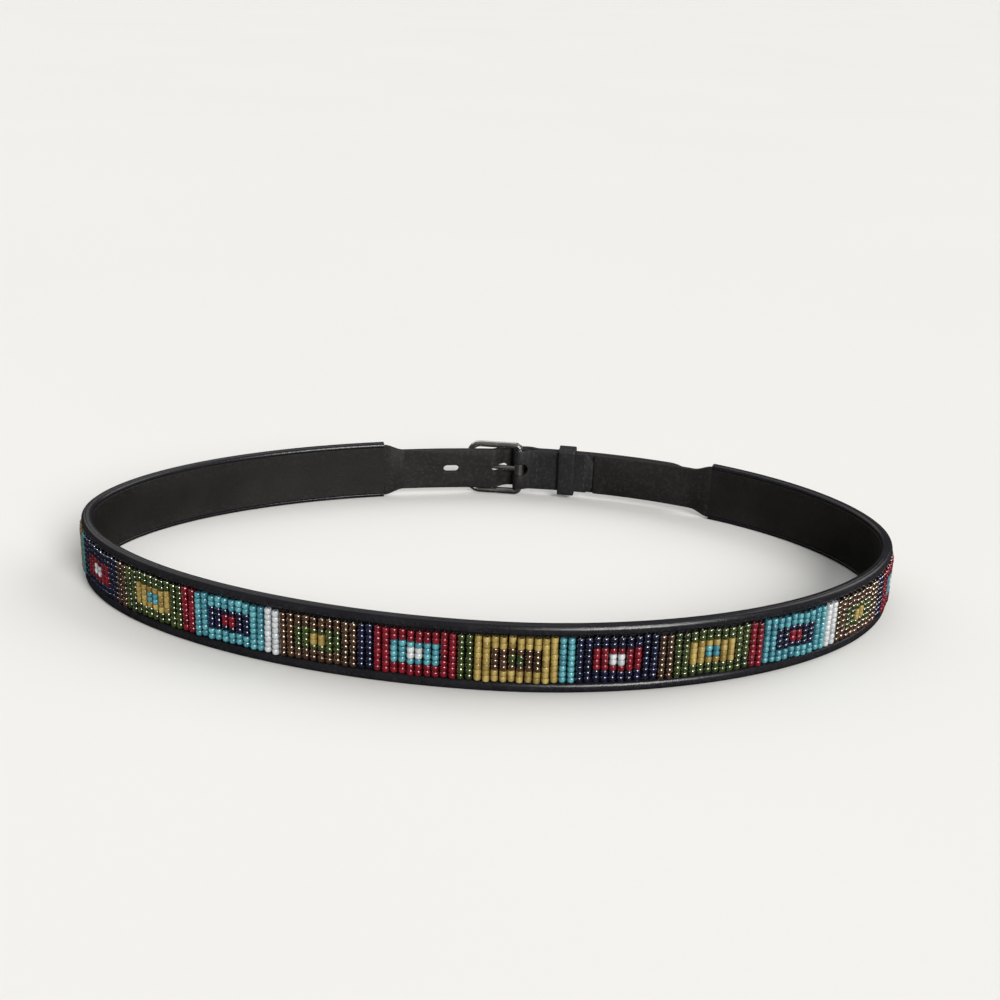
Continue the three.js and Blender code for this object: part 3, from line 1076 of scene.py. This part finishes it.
def make_floor():
    """A wide pale floor, which mirrored rays see as dark, so that the dark beads stay dark."""
    shape = bmesh.new()
    bmesh.ops.create_circle(shape, cap_ends=True, segments=64, radius=12)
    mesh = bpy.data.meshes.new("floor")
    shape.to_mesh(mesh)
    shape.free()
    material, tree, shader, places = new_material("pale_floor")
    plaster = noise(tree, places, 3, 2)
    colour = ramp(tree, plaster, (0.3, (0.80, 0.80, 0.78)), (0.7, (0.81, 0.81, 0.79)))
    mirrored = node(tree, "ShaderNodeLightPath").outputs["Is Glossy Ray"]
    colour = mix_colour(tree, mirrored, colour, (0.02, 0.02, 0.02))
    tree.links.new(colour, shader.inputs["Base Color"])
    shader.inputs["Roughness"].default_value = 0.8
    shader.inputs["Specular IOR Level"].default_value = 0.2
    mesh.materials.append(material)
    floor = bpy.data.objects.new("floor", mesh)
    bpy.context.scene.collection.objects.link(floor)


def make_light(name, azimuth, elevation, width, strength):
    """A wide soft far light, its azimuth counted from the front towards the right."""
    data = bpy.data.lights.new(name, "SUN")
    data.energy = strength
    data.angle = math.radians(width)
    data.color = (1.0, 0.985, 0.96)
    turn = math.radians(azimuth)
    rise = math.radians(elevation)
    towards = Vector((math.sin(turn) * math.cos(rise), -math.cos(turn) * math.cos(rise), math.sin(rise)))
    light = bpy.data.objects.new(name, data)
    light.rotation_mode = "QUATERNION"
    light.rotation_quaternion = towards.to_track_quat("Z", "Y")
    bpy.context.scene.collection.objects.link(light)


def make_sky():
    """The even room light, brightest overhead and dim towards the horizon, before a pale backdrop."""
    world = bpy.data.worlds.new("pale_room")
    world.use_nodes = True
    tree = world.node_tree
    direction = node(tree, "ShaderNodeTexCoord").outputs["Generated"]
    parts = node(tree, "ShaderNodeSeparateXYZ")
    tree.links.new(direction, parts.inputs["Vector"])
    height = maths(tree, "MAXIMUM", parts.outputs["Z"], 0.0)
    overhead = maths(tree, "MULTIPLY", height, height)
    strength = maths(tree, "ADD", maths(tree, "MULTIPLY", overhead, 0.27), 0.12)
    path = node(tree, "ShaderNodeLightPath")
    mirrored = maths(tree, "MULTIPLY", path.outputs["Is Glossy Ray"], 0.55)
    strength = maths(tree, "MULTIPLY", strength, maths(tree, "SUBTRACT", 1.0, mirrored))
    backdrop = maths(tree, "MULTIPLY", path.outputs["Is Camera Ray"], 0.9)
    strength = maths(tree, "MAXIMUM", strength, backdrop)
    background = tree.nodes["Background"]
    background.inputs["Color"].default_value = (0.97, 0.98, 1.0, 1)
    tree.links.new(strength, background.inputs["Strength"])
    bpy.context.scene.world = world
    bpy.context.scene.view_settings.view_transform = "Standard"


make_bindings()
make_lining()
make_strap_core()
make_tail()
make_buckle_fold()
make_buckle_back()
make_keeper()
make_bead_thread(make_beads())
make_seam_stitches()

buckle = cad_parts["buckle"]
buckle.data.materials.clear()
buckle.data.materials.append(polished_steel)

make_camera()
make_floor()
make_light("window_light", azimuth=28, elevation=27, width=26, strength=3.2)
make_light("right_fill", azimuth=115, elevation=38, width=45, strength=1.1)
make_light("left_fill", azimuth=-138, elevation=50, width=70, strength=0.8)
make_sky()
